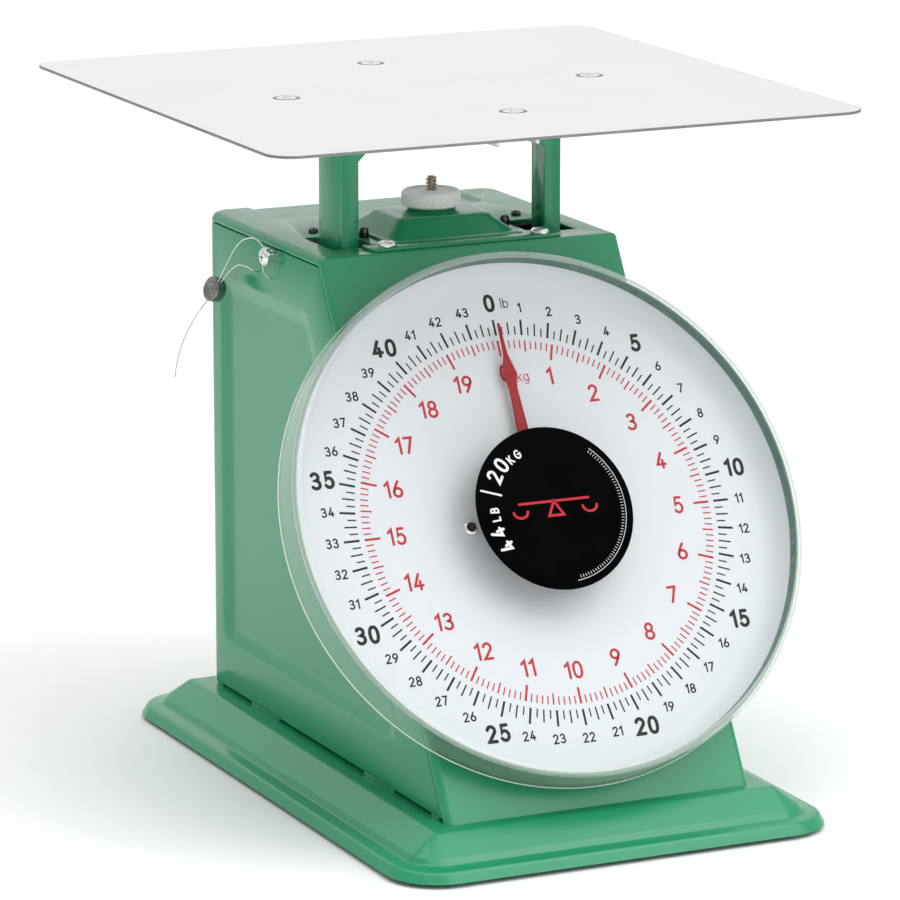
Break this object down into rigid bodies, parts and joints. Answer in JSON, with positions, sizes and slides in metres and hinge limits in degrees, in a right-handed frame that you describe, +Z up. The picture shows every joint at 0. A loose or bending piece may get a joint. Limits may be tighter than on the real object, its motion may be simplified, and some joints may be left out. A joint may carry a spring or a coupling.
{
  "type": "mechanical dial platform scale",
  "caption": "Spring dial scale with a square steel platform on twin posts, a sloping round dial, a pressed green casing and a wide base tray.",
  "frame": {"origin": "on the bench, under the middle of the whole scale's bounding box", "axes": "+Z up, +X to the right of someone reading the dial, -Y the way the dial faces"},
  "size_m": [0.27, 0.319, 0.2955],
  "materials": {
    "casing_green": "satin green enamel on sheet steel",
    "platform_steel": "fine satin stainless sheet",
    "zinc_steel": "zinc plated mild steel",
    "bright_screw": "bright plated screws",
    "black_screw": "black oxide screws",
    "spring_steel": "oiled spring wire",
    "brass": "machined brass",
    "nylon": "natural nylon",
    "rubber": "black moulded rubber",
    "dial_white": "white enamel with printed graduations",
    "clear_plastic": "clear moulded plastic",
    "disc_black": "black printed plate",
    "pointer_red": "red enamel",
    "knob_white": "off-white moulded plastic",
    "stud_steel": "yellow passivated steel thread",
    "seal_lead": "dull pressed lead alloy",
    "seal_wire": "fine bright steel wire"
  },
  "bodies": {
    "frame": {"base_tray": "casing_green", "foot_front_left": "rubber", "foot_front_right": "rubber", "foot_rear_left": "rubber", "foot_rear_right": "rubber", "casing_shell": "casing_green", "side_panel_left": "casing_green", "side_panel_right": "casing_green", "rear_cover": "casing_green", "rear_cover_screws": "bright_screw", "hump_cover": "casing_green", "hump_screws": "bright_screw", "bridge_screws": "black_screw", "hanger_bridge": "zinc_steel", "hanger_sleeve": "zinc_steel", "upright_left": "zinc_steel", "upright_right": "zinc_steel", "fixed_rod_upper": "zinc_steel", "fixed_rod_lower": "zinc_steel", "gear_plate_front": "brass", "gear_plate_rear": "brass", "gear_pillars": "brass", "dial_standoffs": "zinc_steel", "dial_screws": "bright_screw", "shaft_bush_front": "brass", "shaft_bush_rear": "brass", "rack_guide": "nylon", "dial_pan": "dial_white", "clear_cover": "clear_plastic", "centre_disc": "disc_black", "seal_screw": "bright_screw", "seal_wire_upper": "seal_wire", "seal_wire_lower": "seal_wire", "lead_seal": "seal_lead", "spring_left": "spring_steel", "spring_right": "spring_steel"},
    "platform": {"platform_plate": "platform_steel", "platform_screws": "bright_screw", "platform_spider": "zinc_steel", "post_left": "casing_green", "post_right": "casing_green", "crossbar": "zinc_steel", "rack_arm": "zinc_steel", "carrier_rod_upper": "zinc_steel", "carrier_rod_lower": "zinc_steel"},
    "rack": {"rack": "brass"},
    "pointer": {"pointer_shaft": "zinc_steel", "pinion": "brass", "pointer_hub": "pointer_red", "pointer_blade": "pointer_red"},
    "upper_lever": {"lever_upper": "zinc_steel"},
    "lower_lever": {"lever_lower": "zinc_steel"},
    "knob": {"zero_knob": "knob_white"},
    "hanger": {"hanger_stud": "stud_steel", "spring_yoke": "zinc_steel"}
  },
  "joints": [
    {"name": "platform_slide", "type": "slide", "parent": "frame", "child": "platform", "axis": [0, 0, -1], "range_m": [0, 0.01627], "stiffness_N_per_m": 12050, "springref_m": -0.0013, "deforming": ["spring_left", "spring_right"]},
    {"name": "rack_slide", "type": "slide", "parent": "frame", "child": "rack", "axis": [0, -0.5044, -0.8635], "range_m": [0, 0.01886]},
    {"name": "pointer_spin", "type": "hinge", "parent": "frame", "child": "pointer", "pos_m": [0, -0.06946, 0.12371], "axis": [0, 0.8635, -0.5044], "range_deg": [0, 360]},
    {"name": "upper_lever_swing", "type": "hinge", "parent": "frame", "child": "upper_lever", "pos_m": [0, 0.09629, 0.19], "axis": [1, 0, 0], "range_deg": [0, 11.7]},
    {"name": "lower_lever_swing", "type": "hinge", "parent": "frame", "child": "lower_lever", "pos_m": [0, 0.09629, 0.062], "axis": [1, 0, 0], "range_deg": [0, 11.7]},
    {"name": "knob_spin", "type": "hinge", "parent": "frame", "child": "knob", "pos_m": [0, 0.0335, 0.2457], "axis": [0, 0, 1], "range_deg": [-540, 540]},
    {"name": "hanger_slide", "type": "slide", "parent": "frame", "child": "hanger", "axis": [0, 0, 1], "range_m": [-0.0012, 0.0012]}
  ],
  "couplings": [
    {"joint": "rack_slide", "follows": "platform_slide", "ratio": 1.1581},
    {"joint": "pointer_spin", "follows": "platform_slide", "rad_per_m": 386.03},
    {"joint": "upper_lever_swing", "follows": "platform_slide", "rad_per_m": 12.5},
    {"joint": "lower_lever_swing", "follows": "platform_slide", "rad_per_m": 12.5},
    {"joint": "knob_spin", "follows": "hanger_slide", "rad_per_m": -7853.9}
  ]
}
